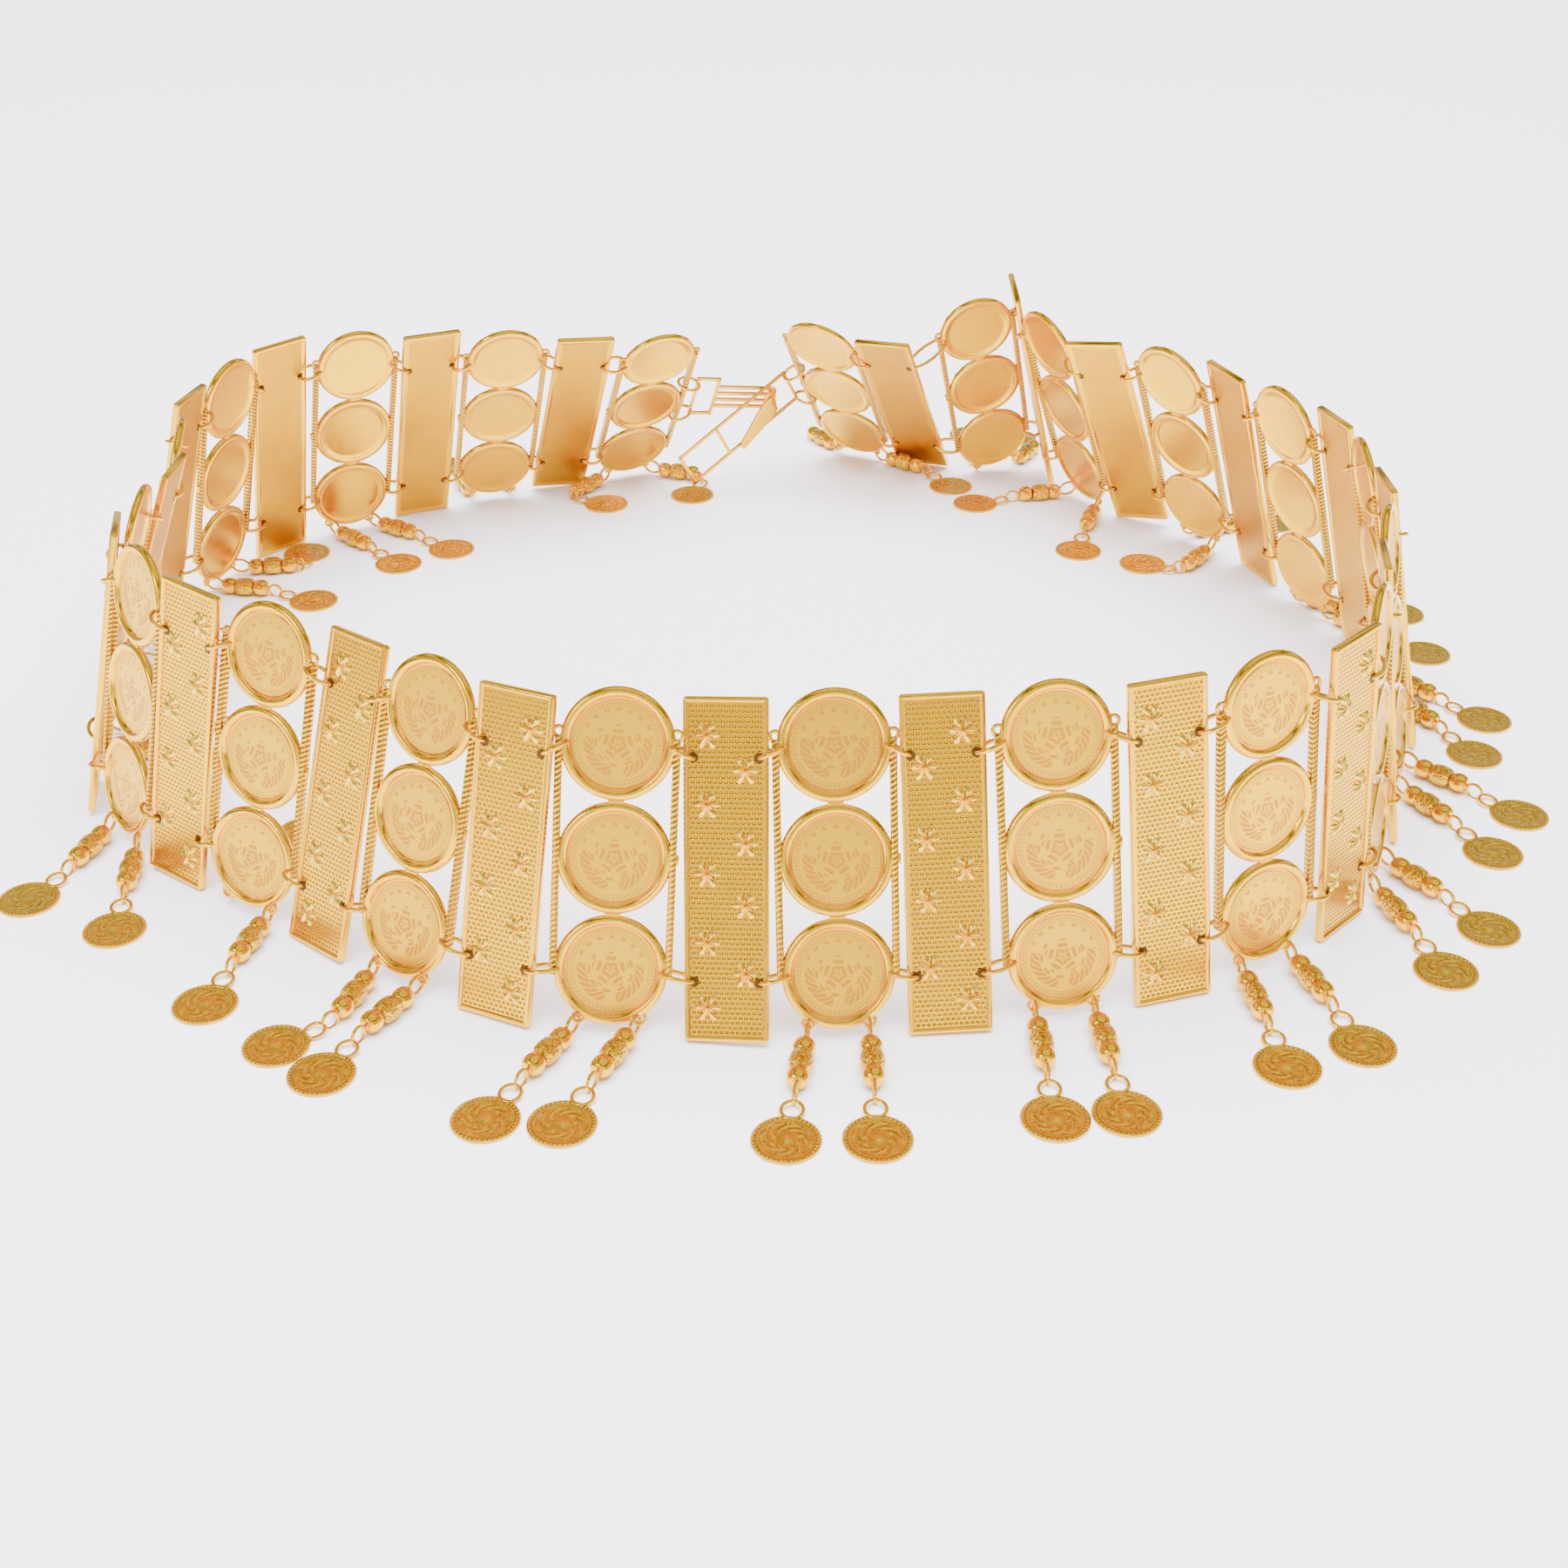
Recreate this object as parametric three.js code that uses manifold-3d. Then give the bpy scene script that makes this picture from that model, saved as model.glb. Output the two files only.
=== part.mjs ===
// Coin and tassel belt: a closed band of rectangular plates and three coin columns, fastened at the back.
// Millimetres, +Z up, the band stands on its edge on the floor with every tassel lying flat.
import * as THREE from "three";
import Module from "manifold-3d";

const wasm = await Module();
wasm.setup();

// Sizes of the plates, coins, rings, tassels and clasp
const plate = { width: 17.2, height: 70, depth: 1.7, rim: 1.1, sink: 0.4, holeIn: 2, holeUp: 22.8 };
const coin = { radius: 11.55, pitch: 23.3, sides: 12, half: 0.92, faceRadius: 9.45, face: 0.3 };
const bar = { from: 10.9, to: 12.5, half: 0.95, past: 1.3 };
const rimHole = { at: 10.05, size: 1.65, wireAt: 10.15 };
const ring = { wire: 0.5, reach: 2.5 };
const column = { lift: 1.8, foot: 3 };
const tassel = { lugAt: 6.2, lugIn: 0.5, bead: 2.5, barrel: 2.75, neck: 1, thread: 0.65, turnUp: 1.2 };
const charm = { radius: 6.9, depth: 0.5, sides: 8, tipIn: 1.5, tipUp: 0.4 };
const ladder = { width: 12, rail: 1.1, depth: 0.8, step: 14.8, ringsAt: 4.6 };
const hook = { frame: 8.2, height: 14, bar: 1.1, depth: 0.9, behind: 2, ringsAt: 5 };
const tine = { count: 4, length: 18.7, spread: 8.2, width: 1.1, short: 1 };
const barHold = { in: 9.9, up: 8.3 };

// Distances from the lug along a tassel: its beads, necks and turn, and then the edge of its coin
const tasselRun = {
  start: 4.6,
  firstBead: 6.7,
  firstNeck: 8.8,
  barrel: 11.4,
  secondNeck: 14,
  secondBead: 16.1,
  end: 18.2,
  turn: 20,
  link: 5.5,
};

// Stations of the band, walked from one clasp end round to the other: foot point, heading, inward lean and roll
const stations = [
  { link: "coins", x: 26, y: 649, heading: -28, lean: 37, roll: -3 },
  { link: "plate", x: 46, y: 641, heading: -18.5, lean: 39, roll: 2.5 },
  { link: "coins", x: 70, y: 637, heading: 15.5, lean: 20, roll: 16.5 },
  { link: "plate", x: 86, y: 629, heading: -90, lean: 14, roll: -13 },
  { link: "plate", x: 111.5, y: 594, heading: -26, lean: 24.5, roll: 9.5 },
  { link: "plate", x: 140, y: 555, heading: -67, lean: 18.5, roll: -2.5 },
  { link: "plate", x: 158.5, y: 508, heading: -75, lean: 14, roll: 1.5 },
  { link: "plate", x: 158.5, y: 460, heading: -90, lean: 12, roll: 2 },
  { link: "plate", x: 143.5, y: 415.5, heading: -98.5, lean: 9, roll: 1.5 },
  { link: "plate", x: 122, y: 374, heading: -135, lean: 5, roll: -1 },
  { link: "plate", x: 81, y: 347.5, heading: -163, lean: 12, roll: -1 },
  { link: "plate", x: 34, y: 336, heading: -176, lean: 20, roll: -1 },
  { link: "plate", x: -11.5, y: 332.5, heading: -187.5, lean: 23.5, roll: -3 },
  { link: "plate", x: -59.8, y: 341, heading: -205.5, lean: 16.5, roll: -1 },
  { link: "plate", x: -101, y: 365.2, heading: -220, lean: 19, roll: -1.5 },
  { link: "plate", x: -138, y: 393, heading: -214.5, lean: 11.5, roll: 3 },
  { link: "plate", x: -167, y: 428, heading: -258, lean: 13, roll: -4.5 },
  { link: "plate", x: -175.5, y: 479.5, heading: -272.5, lean: 21, roll: -0.5 },
  { link: "plate", x: -175, y: 525, heading: -281.5, lean: 15, roll: -1 },
  { link: "plate", x: -152, y: 573, heading: -314, lean: 13, roll: 1 },
  { link: "plate", x: -114, y: 601.5, heading: -334, lean: 22, roll: -1 },
  { link: "plate", x: -73, y: 622, heading: -344.5, lean: 31.5, roll: -4.5 },
  { link: "coins", x: -52, y: 632, heading: -336, lean: 35, roll: 0 },
];

// Where each column's two tassels lie: direction of the beads and of the coin, from straight out, in degrees
const swings = [
  { first: [-60, 80], last: [100, 118] },
  { first: [10, 10], last: [40, -20] },
  { first: [-160, -160], last: [140, 135] },
  { first: [20, 20], last: [170, -105] },
  { first: [60, 15], last: [70, 68] },
  { first: [49, 40], last: [62, 62] },
  { first: [24, 24], last: [39, 39] },
  { first: [33, 33], last: [50, 50] },
  { first: [9, 9], last: [19, 19] },
  { first: [2, 2], last: [5, 5] },
  { first: [2, 2], last: [11, 11] },
  { first: [24, 24], last: [29, 29] },
  { first: [0, -5], last: [-14, 26] },
  { first: [-15, -15], last: [160, 190] },
  { first: [-55, -55], last: [-34, -20] },
  { first: [182, 186], last: [178, 176] },
  { first: [184, 182], last: [174, 178] },
  { first: [165, 175], last: [150, 61] },
  { first: [160, 160], last: [150, 150] },
  { first: [-3, -4], last: [3, 4] },
  { first: [-120, 130], last: [130, -140] },
];

// The clasp: the ladder's free and held ends with its up, and the hook's bend with its way and up
const claspPoints = {
  ladderFree: { x: -31, y: 615, z: 8 },
  ladderHeld: { x: 2.3, y: 634, z: 30 },
  ladderUp: { x: -0.39, y: -0.3, z: 0.87 },
  bend: { x: -4, y: 630, z: 25.9 },
  hookWay: { x: 0.9, y: 0.41, z: -0.17 },
  hookUp: { x: 0.28, y: -0.21, z: 0.94 },
};
const tongue = { back: 16.5, down: 5.6, front: 1.35, half: 2.9, tip: 1.1 };

// Small helpers
const radians = THREE.MathUtils.degToRad;
const at = (x, y, z) => new THREE.Vector3(x, y, z);
const sumOf = (points) => points.reduce((sum, p) => sum.add(p), at(0, 0, 0));
const middleOf = (...points) => sumOf(points).divideScalar(points.length);

// A pose is a link's centre with its along, outward and up axes
function poseOf(centre, along, up) {
  const a = along.clone().normalize();
  const t = up.clone().addScaledVector(a, -up.dot(a)).normalize();
  return { centre: centre.clone(), along: a, up: t, out: t.clone().cross(a) };
}

function placed(pose, x, y, z) {
  return pose.centre.clone().addScaledVector(pose.along, x).addScaledVector(pose.out, y).addScaledVector(pose.up, z);
}

const home = poseOf(at(0, 0, 0), at(1, 0, 0), at(0, 0, 1));

// A closed skin over loops with equal numbers of points, capped at its two ends or joined round into a ring
function skin(loops, joined = false) {
  const count = loops[0].length;
  const position = loops.flat().flatMap((p) => [p.x, p.y, p.z]);
  const index = [];
  const bands = joined ? loops.length : loops.length - 1;
  for (let i = 0; i < bands; i++) {
    const low = i * count;
    const high = ((i + 1) % loops.length) * count;
    for (let j = 0; j < count; j++) {
      const k = (j + 1) % count;
      index.push(low + j, low + k, high + k, low + j, high + k, high + j);
    }
  }
  const top = (loops.length - 1) * count;
  for (let j = 1; !joined && j < count - 1; j++) {
    index.push(0, j + 1, j, top, top + j, top + j + 1);
  }
  const geometry = new THREE.BufferGeometry();
  geometry.setAttribute("position", new THREE.Float32BufferAttribute(position, 3));
  geometry.setIndex(index);
  return geometry;
}

// A geometry as a solid for the joins and cuts, turned the right way out if its faces point inwards
function solid(geometry) {
  const triVerts = new Uint32Array(geometry.index.array);
  const vertProperties = new Float32Array(geometry.attributes.position.array);
  const made = new wasm.Manifold(new wasm.Mesh({ numProp: 3, vertProperties, triVerts }));
  if (made.volume() > 0) {
    return made;
  }
  for (let i = 0; i < triVerts.length; i += 3) {
    [triVerts[i + 1], triVerts[i + 2]] = [triVerts[i + 2], triVerts[i + 1]];
  }
  return new wasm.Manifold(new wasm.Mesh({ numProp: 3, vertProperties, triVerts }));
}

function joinAll(solids) {
  return solids.reduce((sum, next) => sum.add(next));
}

// A point seen from inside a pose, or a direction if the origin is given in place of the pose's centre
function seen(pose, point, origin = pose.centre) {
  const way = point.clone().sub(origin);
  return at(way.dot(pose.along), way.dot(pose.out), way.dot(pose.up));
}

// A solid made round the origin, moved into a pose
function stood(shape, pose) {
  const matrix = new THREE.Matrix4().makeBasis(pose.along, pose.out, pose.up).setPosition(pose.centre);
  return shape.transform(matrix.elements);
}

// A block in a pose between two corners
function block(pose, low, high) {
  const loop = (z) => [
    placed(pose, low[0], low[1], z),
    placed(pose, high[0], low[1], z),
    placed(pose, high[0], high[1], z),
    placed(pose, low[0], high[1], z),
  ];
  return solid(skin([loop(low[2]), loop(high[2])]));
}

// A disc in a pose turned about its outward axis, from a profile of radius and depth
function disc(pose, profile, sides) {
  const loops = profile.map(([radius, depth]) =>
    Array.from({ length: sides }, (unused, i) => {
      const angle = (2 * Math.PI * (i + 0.5)) / sides;
      return placed(pose, radius * Math.sin(angle), depth, radius * Math.cos(angle));
    }),
  );
  return solid(skin(loops));
}

// A jump ring through two points, three sided: straight along each link's outward axis where it crosses the link
function jumpRing(from, fromOut, to, toOut) {
  const way = to.clone().sub(from);
  const sections = [
    { point: from, out: fromOut, sign: -1 },
    { point: to, out: toOut, sign: 1 },
  ].map(({ point, out, sign }) => {
    const away = way.clone().addScaledVector(out, -way.dot(out)).normalize().multiplyScalar(sign);
    const rise = away.clone().cross(out).multiplyScalar(sign);
    return { point, out, away, rise };
  });
  const loop = ({ point, out, away, rise }, face) =>
    [0, 1, 2].map((k) => {
      const outer = ring.wire * Math.cos((2 * Math.PI * k) / 3);
      const sideways = ring.wire * Math.sin((2 * Math.PI * k) / 3);
      return point
        .clone()
        .addScaledVector(away, outer)
        .addScaledVector(rise, sideways)
        .addScaledVector(out, face * (ring.reach + outer));
    });
  const [near, far] = sections;
  return solid(skin([loop(near, 1), loop(far, 1), loop(far, -1), loop(near, -1)], true));
}

// Pose of a link in the stations table, set down so that its lowest corner touches the floor
function stationPose(row) {
  const [heading, lean, roll] = [row.heading, row.lean, row.roll].map(radians);
  const along = at(Math.cos(heading), Math.sin(heading), 0);
  const out = at(-Math.sin(heading), Math.cos(heading), 0);
  const up = at(0, 0, Math.cos(lean)).addScaledVector(out, -Math.sin(lean));
  const turned = along.clone().multiplyScalar(Math.cos(roll)).addScaledVector(up, Math.sin(roll));
  const upright = up.clone().multiplyScalar(Math.cos(roll)).addScaledVector(along, -Math.sin(roll));
  const rise = row.link === "plate" ? plate.height / 2 : column.foot + coin.radius + coin.pitch;
  const pose = poseOf(at(row.x, row.y, 0).addScaledVector(upright, rise), turned, upright);
  if (row.link === "plate") {
    const feet = [-1, 1].flatMap((i) =>
      [-1, 1].map((j) => placed(pose, (i * plate.width) / 2, (j * plate.depth) / 2, -rise).z),
    );
    pose.centre.z -= Math.min(...feet);
  }
  return pose;
}

// Ring hole centres of a plate on one side, upper then lower
function plateHoles(pose, side) {
  const x = side * (plate.width / 2 - plate.holeIn);
  return [placed(pose, x, 0, plate.holeUp), placed(pose, x, 0, -plate.holeUp)];
}

// Ring hole centres of a coin column on one side, upper then lower
function columnHoles(pose, side) {
  const x = side * rimHole.wireAt;
  return [placed(pose, x, 0, coin.pitch), placed(pose, x, 0, -coin.pitch)];
}

// A column hangs between the facing holes of its two neighbouring plates, a little higher than they stand
function hungPose(before, after) {
  const [leftUp, leftDown] = plateHoles(before, 1);
  const [rightUp, rightDown] = plateHoles(after, -1);
  const along = middleOf(rightUp, rightDown).sub(middleOf(leftUp, leftDown));
  const up = middleOf(leftUp, rightUp).sub(middleOf(leftDown, rightDown));
  const pose = poseOf(middleOf(leftUp, leftDown, rightUp, rightDown), along, up);
  pose.centre.addScaledVector(pose.up, column.lift);
  return pose;
}

// The plate: a raised rim round a sunk panel in front, and a flat back
function plateShape() {
  const [w, h, d] = [plate.width / 2, plate.height / 2, plate.depth / 2];
  const loop = (x, z, y) => [at(-x, y, -z), at(x, y, -z), at(x, y, z), at(-x, y, z)];
  const [innerW, innerH] = [w - plate.rim, h - plate.rim];
  const back = [loop(w, h, -d), loop(w, h, d)];
  const panel = [loop(innerW, innerH, d), loop(innerW, innerH, d - plate.sink)];
  return solid(skin([...back, ...panel]));
}

// One tassel: its ring and three beads run from the lug to the floor, then its coin lies flat
function tasselSolid(pose, side, swing) {
  const level = Math.hypot(pose.along.x, pose.along.y);
  const along = at(pose.along.x / level, pose.along.y / level, 0);
  const out = at(-along.y, along.x, 0);
  const [beadWay, coinWay] = swing
    .map(radians)
    .map((turn) => along.clone().multiplyScalar(Math.sin(turn)).addScaledVector(out, Math.cos(turn)));
  const beadAcross = at(-beadWay.y, beadWay.x, 0);
  const coinAcross = at(-coinWay.y, coinWay.x, 0);
  const drop = Math.sqrt(coin.radius ** 2 - tassel.lugAt ** 2) - tassel.lugIn;
  const lug = placed(pose, side * tassel.lugAt, 0, -coin.pitch - drop);
  const onFloor = (point, z) => at(point.x, point.y, z);
  const run = (distance, z) => onFloor(lug.clone().addScaledVector(beadWay, distance), z);
  const turn = run(tasselRun.turn, tassel.turnUp);
  const centre = onFloor(turn.clone().addScaledVector(coinWay, tasselRun.link + charm.radius), 0);
  const tip = onFloor(centre.clone().addScaledVector(coinWay, charm.tipIn - charm.radius), charm.tipUp);
  const beadLoop = (point, radius, across = beadAcross) =>
    [
      [-1, -0.5],
      [1, -0.5],
      [0, 1],
    ].map(([i, j]) => point.clone().addScaledVector(across, i * radius).add(at(0, 0, j * radius)));
  const z = tassel.barrel / 2;
  const beads = [
    beadLoop(lug, tassel.thread),
    beadLoop(run(tasselRun.start, z + tassel.thread), tassel.thread),
    beadLoop(run(tasselRun.firstBead, z), tassel.bead),
    beadLoop(run(tasselRun.firstNeck, z), tassel.neck),
    beadLoop(run(tasselRun.barrel, z), tassel.barrel),
    beadLoop(run(tasselRun.secondNeck, z), tassel.neck),
    beadLoop(run(tasselRun.secondBead, z), tassel.bead),
    beadLoop(run(tasselRun.end, z), tassel.thread),
    ...(swing[0] === swing[1] ? [] : [beadLoop(turn, tassel.thread)]),
    beadLoop(tip, tassel.thread / 2, coinAcross),
  ];
  const flat = poseOf(centre, coinWay, coinAcross);
  const depth = flat.out.z > 0 ? charm.depth : -charm.depth;
  const profile = [
    [charm.radius, 0],
    [charm.radius, depth],
  ];
  return solid(skin(beads)).add(disc(flat, profile, charm.sides));
}

// A column's body: three bezel set coins, a bar down each side and four ring holes
function columnShape() {
  const profile = [
    [coin.radius, -coin.half],
    [coin.radius, coin.half],
    [coin.faceRadius, coin.face],
  ];
  const reach = coin.pitch + bar.past;
  const coins = [-1, 0, 1]
    .map((k) => poseOf(at(0, 0, k * coin.pitch), home.along, home.up))
    .map((pose) => disc(pose, profile, coin.sides));
  const bars = [-1, 1].map((side) => {
    const [low, high] = [side * bar.from, side * bar.to].sort((a, b) => a - b);
    return block(home, [low, -bar.half, -reach], [high, bar.half, reach]);
  });
  const half = rimHole.size / 2;
  const holes = [-1, 1].flatMap((side) =>
    [-1, 1].map((k) => {
      const [x, z] = [side * rimHole.at, k * coin.pitch];
      return block(home, [x - half, -2, z - half], [x + half, 2, z + half]);
    }),
  );
  return holes.reduce((left, hole) => left.subtract(hole), joinAll([...coins, ...bars]));
}

// The two rings that hold a clasp part round the side bar of the coin column next to it
function heldRings(pose, points, neighbour, side) {
  return points.map((point, k) => {
    const behindBar = placed(neighbour, side * barHold.in, 0, (1 - 2 * k) * barHold.up);
    return jumpRing(point, home.out, seen(pose, behindBar), seen(pose, neighbour.out, at(0, 0, 0)));
  });
}

// The ladder: a flat strip with a short and a long window, ringed to the first column
function ladderSolid(pose, length, column) {
  const [half, depth, rail] = [ladder.width / 2, ladder.depth / 2, ladder.rail];
  const rails = [-1, 1].map((side) => {
    const edges = [side * half, side * (half - rail)].sort((a, b) => a - b);
    return block(home, [-length / 2, -depth, edges[0]], [length / 2, depth, edges[1]]);
  });
  const rungs = [-length / 2, ladder.step - length / 2, length / 2 - rail].map((x) =>
    block(home, [x, -depth, -half], [x + rail, depth, half]),
  );
  const held = [1, -1].map((side) => at(length / 2 - rail / 2, 0, side * ladder.ringsAt));
  return stood(joinAll([...rails, ...rungs, ...heldRings(pose, held, column, -1)]), pose);
}

// A strip's section: a rectangle of half its height and half its thickness round a point
function stripLoop(point, tall, thick) {
  const across = thick.clone().normalize().multiplyScalar(hook.depth / 2);
  return [
    [-1, -1],
    [1, -1],
    [1, 1],
    [-1, 1],
  ].map(([i, j]) => point.clone().addScaledVector(tall, i).addScaledVector(across, j));
}

// The hook: a frame ringed to the last column, four tines, a bend through the long window and a flat tongue
function hookSolid(pose, ladderPose, column) {
  const [end, depth] = [-tine.length, hook.depth / 2];
  const outer = end - hook.frame;
  const uprights = [outer, end - hook.bar].map((x) =>
    block(home, [x, -depth, -hook.height / 2], [x + hook.bar, depth, hook.height / 2]),
  );
  const levels = [-hook.height / 2, hook.height / 2 - hook.bar].map((z) =>
    block(home, [outer, -depth, z], [end, depth, z + hook.bar]),
  );
  const step = (tine.spread - tine.width) / (tine.count - 1);
  const tines = Array.from({ length: tine.count }, (unused, k) => {
    const z = k * step - tine.spread / 2;
    return block(home, [end - hook.bar / 2, -depth, z], [-tine.short, depth, z + tine.width]);
  });
  const held = [1, -1].map((side) => at(outer + hook.bar / 2, 0, side * hook.ringsAt));
  const frame = stood(joinAll([...uprights, ...levels, ...tines, ...heldRings(pose, held, column, 1)]), pose);
  const through = pose.centre.clone().addScaledVector(pose.out, -hook.behind);
  const level = placed(ladderPose, -tongue.back, 0, -tongue.down).sub(ladderPose.centre);
  const across = level.clone().normalize().cross(ladderPose.out).negate();
  const spot = (along, out) => through.clone().addScaledVector(pose.along, along).addScaledVector(pose.out, out);
  const tall = pose.up.clone().multiplyScalar(tine.spread / 2);
  const wide = across.clone().multiplyScalar(tongue.half);
  const root = spot(0, 0).addScaledVector(ladderPose.out, -tongue.front);
  const front = ladderPose.out.clone().negate();
  const bend = skin([
    stripLoop(spot(-1.6, hook.behind), tall, pose.out),
    stripLoop(spot(0.2, hook.behind - 0.3), tall, pose.out.clone().add(pose.along)),
    stripLoop(spot(1.1, 0.5), tall.clone().multiplyScalar(0.8).addScaledVector(wide, 0.2), pose.along),
    stripLoop(root, tall.clone().multiplyScalar(0.3).addScaledVector(wide, 0.7), pose.along.clone().add(front)),
    stripLoop(root.clone().addScaledVector(level, 0.3), wide, front),
    stripLoop(root.clone().add(level), wide.clone().multiplyScalar(tongue.tip / tongue.half), front),
  ]);
  return frame.add(solid(bend));
}

// Poses of all the links in order
const anchors = stations.map(stationPose);
const links = [];
anchors.forEach((pose, i) => {
  const kind = stations[i].link;
  if (kind === "plate" && stations[i - 1].link === "plate") {
    links.push({ kind: "coins", pose: hungPose(anchors[i - 1], pose) });
  }
  links.push({ kind, pose });
});

const plateBody = plateShape();
const columnBody = columnShape();
const made = [];
const counts = { plate: 0, coins: 0 };
links.forEach(({ kind, pose }, i) => {
  counts[kind] += 1;
  const name = `${kind}_${String(counts[kind]).padStart(2, "0")}`;
  if (kind === "coins") {
    const swing = swings[counts.coins - 1];
    const tassels = [tasselSolid(pose, -1, swing.first), tasselSolid(pose, 1, swing.last)];
    made.push({ name, solid: joinAll([stood(columnBody, pose), ...tassels]) });
    return;
  }
  const rings = [-1, 1].flatMap((side) => {
    const neighbour = links[i + side].pose;
    const theirs = columnHoles(neighbour, -side).map((hole) => seen(pose, hole));
    const theirOut = seen(pose, neighbour.out, at(0, 0, 0));
    return plateHoles(home, side).map((hole, k) => jumpRing(hole, home.out, theirs[k], theirOut));
  });
  made.push({ name, solid: stood(joinAll([plateBody, ...rings]), pose) });
});

// The clasp between the two end columns
const point = ({ x, y, z }) => at(x, y, z);
const [free, heldEnd] = [point(claspPoints.ladderFree), point(claspPoints.ladderHeld)];
const ladderPose = poseOf(middleOf(free, heldEnd), heldEnd.clone().sub(free), point(claspPoints.ladderUp));
const hookPose = poseOf(point(claspPoints.bend), point(claspPoints.hookWay), point(claspPoints.hookUp));
hookPose.centre.addScaledVector(hookPose.out, hook.behind);
made.push({ name: "clasp_ladder", solid: ladderSolid(ladderPose, free.distanceTo(heldEnd), links[0].pose) });
made.push({ name: "clasp_hook", solid: hookSolid(hookPose, ladderPose, links.at(-1).pose) });

// The whole band set with the middle of its box on the origin
const root = new THREE.Group();
root.name = "coin_tassel_belt";
const box = new THREE.Box3();
const finished = made.map(({ name, solid: body }) => {
  const mesh = body.getMesh();
  const geometry = new THREE.BufferGeometry();
  const position = new Float32Array(mesh.vertProperties);
  geometry.setAttribute("position", new THREE.BufferAttribute(position, 3));
  geometry.setIndex(new THREE.BufferAttribute(mesh.triVerts, 1));
  geometry.computeBoundingBox();
  box.union(geometry.boundingBox);
  return { name, geometry };
});
const middle = box.getCenter(at(0, 0, 0));
finished.forEach(({ name, geometry }) => {
  geometry.translate(-middle.x, -middle.y, -box.min.z);
  const gold = new THREE.MeshStandardMaterial({ color: 0xe2ac3c, metalness: 1, roughness: 0.25 });
  gold.name = "gold_plate";
  const mesh = new THREE.Mesh(geometry, gold);
  mesh.name = name;
  root.add(mesh);
});

export default root;
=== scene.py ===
import bpy
import numpy as np
from mathutils import Matrix


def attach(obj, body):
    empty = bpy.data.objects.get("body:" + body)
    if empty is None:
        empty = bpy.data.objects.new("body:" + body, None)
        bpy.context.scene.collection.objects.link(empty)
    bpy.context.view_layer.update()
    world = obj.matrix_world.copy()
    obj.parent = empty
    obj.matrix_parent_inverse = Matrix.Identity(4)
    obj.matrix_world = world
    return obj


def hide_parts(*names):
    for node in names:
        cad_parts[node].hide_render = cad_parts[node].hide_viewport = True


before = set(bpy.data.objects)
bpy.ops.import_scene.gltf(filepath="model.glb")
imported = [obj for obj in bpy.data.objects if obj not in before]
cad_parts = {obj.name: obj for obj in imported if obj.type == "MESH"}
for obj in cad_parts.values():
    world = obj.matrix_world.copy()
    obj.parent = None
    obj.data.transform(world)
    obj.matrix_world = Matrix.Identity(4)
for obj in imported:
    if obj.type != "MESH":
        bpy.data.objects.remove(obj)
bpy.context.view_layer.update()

# The band's own frame in millimetres; its box middle is set on the origin by taking this off
bandMiddle = np.array([4.9232, 484.4177, 0.0])
plateSize = {"halfWidth": 8.6, "halfHeight": 35.0, "halfDepth": 0.85, "holeIn": 2.0, "holeUp": 22.8}
coinSize = {"radius": 11.55, "pitch": 23.3, "lift": 1.8, "foot": 3.0, "wireAt": 10.15}
ringSize = {"wire": 0.5, "reach": 2.7, "steps": 32, "sides": 10}

# Stations of the band: link, x, y in mm, heading, lean, roll in degrees; a relaxation search settled them
stations = [
    ("coins", 26, 649, -28, 37, -3),
    ("plate", 46, 641, -18.5, 39, 2.5),
    ("coins", 70, 637, 15.5, 20, 16.5),
    ("plate", 86, 629, -90, 14, -13),
    ("plate", 111.5, 594, -26, 24.5, 9.5),
    ("plate", 140, 555, -67, 18.5, -2.5),
    ("plate", 158.5, 508, -75, 14, 1.5),
    ("plate", 158.5, 460, -90, 12, 2),
    ("plate", 143.5, 415.5, -98.5, 9, 1.5),
    ("plate", 122, 374, -135, 5, -1),
    ("plate", 81, 347.5, -163, 12, -1),
    ("plate", 34, 336, -176, 20, -1),
    ("plate", -11.5, 332.5, -187.5, 23.5, -3),
    ("plate", -59.8, 341, -205.5, 16.5, -1),
    ("plate", -101, 365.2, -220, 19, -1.5),
    ("plate", -138, 393, -214.5, 11.5, 3),
    ("plate", -167, 428, -258, 13, -4.5),
    ("plate", -175.5, 479.5, -272.5, 21, -0.5),
    ("plate", -175, 525, -281.5, 15, -1),
    ("plate", -152, 573, -314, 13, 1),
    ("plate", -114, 601.5, -334, 22, -1),
    ("plate", -73, 622, -344.5, 31.5, -4.5),
    ("coins", -52, 632, -336, 35, 0),
]

# How each column's two tassels lie: beads then coin, first then last, in degrees from straight out
swings = [
    (-60, 80, 100, 118), (10, 10, 40, -20), (-160, -160, 140, 135), (20, 20, 170, -105), (60, 15, 70, 68),
    (49, 40, 62, 62), (24, 24, 39, 39), (33, 33, 50, 50), (9, 9, 19, 19), (2, 2, 5, 5), (2, 2, 11, 11),
    (24, 24, 29, 29), (0, -5, -14, 26), (-15, -15, 160, 190), (-55, -55, -34, -20), (182, 186, 178, 176),
    (184, 182, 174, 178), (165, 175, 150, 61), (160, 160, 150, 150), (-3, -4, 3, 4), (-120, 130, 130, -140),
]


def unit(v):
    return v / np.linalg.norm(v, axis=-1, keepdims=True)


# A pose is a centre and three axes: along, out, up, with out square to the other two
def poseOf(centre, along, up):
    a = unit(np.array(along, float))
    t = unit(np.array(up, float) - a * np.dot(up, a))
    return {"centre": np.array(centre, float), "basis": np.array([a, np.cross(t, a), t])}


def placed(pose, points):
    return pose["centre"] + np.asarray(points, float) @ pose["basis"]


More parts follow.
